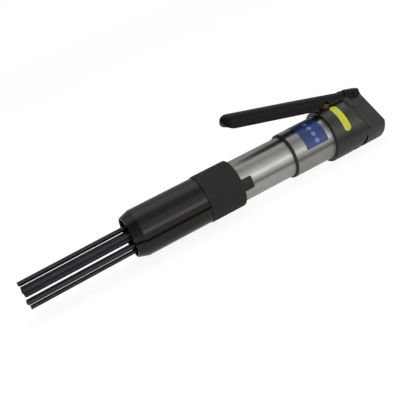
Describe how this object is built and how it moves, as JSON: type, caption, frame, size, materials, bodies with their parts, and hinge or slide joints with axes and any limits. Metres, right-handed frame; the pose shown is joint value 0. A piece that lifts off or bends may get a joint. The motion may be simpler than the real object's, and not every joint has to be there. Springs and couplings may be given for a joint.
{
  "type": "needle scaler",
  "caption": "Straight air needle scaler: black housing with a lever over a brass valve, silver barrel, black nose tube and a bundle of loose needles",
  "frame": {"origin": "centre of the air inlet's mouth, on the tool's axis", "axes": "+X along the tool's axis towards the needle tips, +Z from the axis towards the lever, +Y to the left seen from behind the inlet looking along +X"},
  "size_m": [0.2909, 0.0409, 0.0687],
  "materials": {
    "black_housing": "moulded, satin black",
    "plated_steel": "zinc plated, satin",
    "rubber": "matt",
    "screen_steel": "bare",
    "brass": "machined",
    "spring_steel": "bright drawn",
    "lever_black": "powder coated black",
    "felt": "pressed grey felt",
    "label_yellow": "printed film",
    "label_blue": "printed film",
    "turned_steel": "turned, satin",
    "hard_steel": "hardened, ground",
    "black_oxide": "black oxide, glossy",
    "collar_black": "black, matt",
    "needle_steel": "dark tempered spring steel"
  },
  "bodies": {
    "tool": {"housing": "black_housing", "inlet_bushing": "plated_steel", "inlet_seal": "rubber", "inlet_screen": "screen_steel", "throttle_bush": "brass", "throttle_spring": "spring_steel", "lever_pin": "hard_steel", "exhaust_muffler": "felt", "yellow_label": "label_yellow", "blue_label": "label_blue", "sleeve": "turned_steel", "front_ring": "rubber", "barrel": "turned_steel", "barrel_seal": "rubber", "valve_cover": "hard_steel", "valve_chest": "hard_steel", "anvil_bush": "brass", "needle_spring": "spring_steel", "spring_seat": "hard_steel", "snap_ring": "spring_steel", "nose_tube": "black_oxide"},
    "lever": {"lever": "lever_black"},
    "throttle": {"throttle_stem": "brass", "throttle_washer": "rubber", "stem_seal": "rubber"},
    "valve_plate": {"valve_plate": "hard_steel"},
    "piston": {"piston": "hard_steel"},
    "anvil": {"anvil": "hard_steel"},
    "holder": {"needle_holder": "hard_steel"},
    "collar": {"lock_collar": "collar_black"},
    "needle_01": {"needle_01": "needle_steel"},
    "needle_02": {"needle_02": "needle_steel"},
    "needle_03": {"needle_03": "needle_steel"},
    "needle_04": {"needle_04": "needle_steel"},
    "needle_05": {"needle_05": "needle_steel"},
    "needle_06": {"needle_06": "needle_steel"},
    "needle_07": {"needle_07": "needle_steel"},
    "needle_08": {"needle_08": "needle_steel"},
    "needle_09": {"needle_09": "needle_steel"},
    "needle_10": {"needle_10": "needle_steel"},
    "needle_11": {"needle_11": "needle_steel"},
    "needle_12": {"needle_12": "needle_steel"}
  },
  "joints": [
    {"name": "lever_pivot", "type": "hinge", "parent": "tool", "child": "lever", "pos_m": [0.0099, 0, 0.021], "axis": [0, 1, 0], "range_deg": [0, 4.4], "stiffness_Nm_per_rad": 0.5, "springref_deg": -17.19},
    {"name": "throttle_slide", "type": "slide", "parent": "tool", "child": "throttle", "axis": [0, 0, -1], "range_m": [0, 0.00202], "deforming": ["throttle_spring"]},
    {"name": "plate_slide", "type": "slide", "parent": "tool", "child": "valve_plate", "axis": [1, 0, 0], "range_m": [-0.0004, 0.0004]},
    {"name": "piston_slide", "type": "slide", "parent": "tool", "child": "piston", "axis": [1, 0, 0], "range_m": [0, 0.01]},
    {"name": "anvil_slide", "type": "slide", "parent": "tool", "child": "anvil", "axis": [1, 0, 0], "range_m": [0, 0.0015]},
    {"name": "holder_slide", "type": "slide", "parent": "tool", "child": "holder", "axis": [1, 0, 0], "range_m": [0, 0.004], "stiffness_N_per_m": 1500, "springref_m": -0.01, "deforming": ["needle_spring"]},
    {"name": "collar_slide", "type": "slide", "parent": "tool", "child": "collar", "axis": [-1, 0, 0], "range_m": [0, 0.005]},
    {"name": "needle_01_slide", "type": "slide", "parent": "holder", "child": "needle_01", "axis": [0.9999, 0, -0.0122], "range_m": [-0.00115, 0.00045]},
    {"name": "needle_02_slide", "type": "slide", "parent": "holder", "child": "needle_02", "axis": [0.9999, 0, -0.0122], "range_m": [-0.00145, 0.00015]},
    {"name": "needle_03_slide", "type": "slide", "parent": "holder", "child": "needle_03", "axis": [0.9999, 0, -0.0122], "range_m": [-0.001, 0.0006]},
    {"name": "needle_04_slide", "type": "slide", "parent": "holder", "child": "needle_04", "axis": [0.9999, 0, -0.0122], "range_m": [-0.0003, 0.0013]},
    {"name": "needle_05_slide", "type": "slide", "parent": "holder", "child": "needle_05", "axis": [0.9999, 0, -0.0122], "range_m": [-0.0009, 0.0007]},
    {"name": "needle_06_slide", "type": "slide", "parent": "holder", "child": "needle_06", "axis": [0.9999, 0, -0.0122], "range_m": [-0.0006, 0.001]},
    {"name": "needle_07_slide", "type": "slide", "parent": "holder", "child": "needle_07", "axis": [0.9999, 0, -0.0122], "range_m": [-0.0015, 0.0001]},
    {"name": "needle_08_slide", "type": "slide", "parent": "holder", "child": "needle_08", "axis": [0.9999, 0, -0.0122], "range_m": [0, 0.0016]},
    {"name": "needle_09_slide", "type": "slide", "parent": "holder", "child": "needle_09", "axis": [0.9999, 0, -0.0122], "range_m": [-0.001, 0.0006]},
    {"name": "needle_10_slide", "type": "slide", "parent": "holder", "child": "needle_10", "axis": [0.9999, 0, -0.0122], "range_m": [-0.0007, 0.0009]},
    {"name": "needle_11_slide", "type": "slide", "parent": "holder", "child": "needle_11", "axis": [0.9999, 0, -0.0122], "range_m": [-0.0013, 0.0003]},
    {"name": "needle_12_slide", "type": "slide", "parent": "holder", "child": "needle_12", "axis": [0.9999, 0, -0.0122], "range_m": [-0.0008, 0.0008]}
  ],
  "couplings": [
    {"joint": "throttle_slide", "follows": "lever_pivot", "m_per_rad": 0.02575}
  ]
}
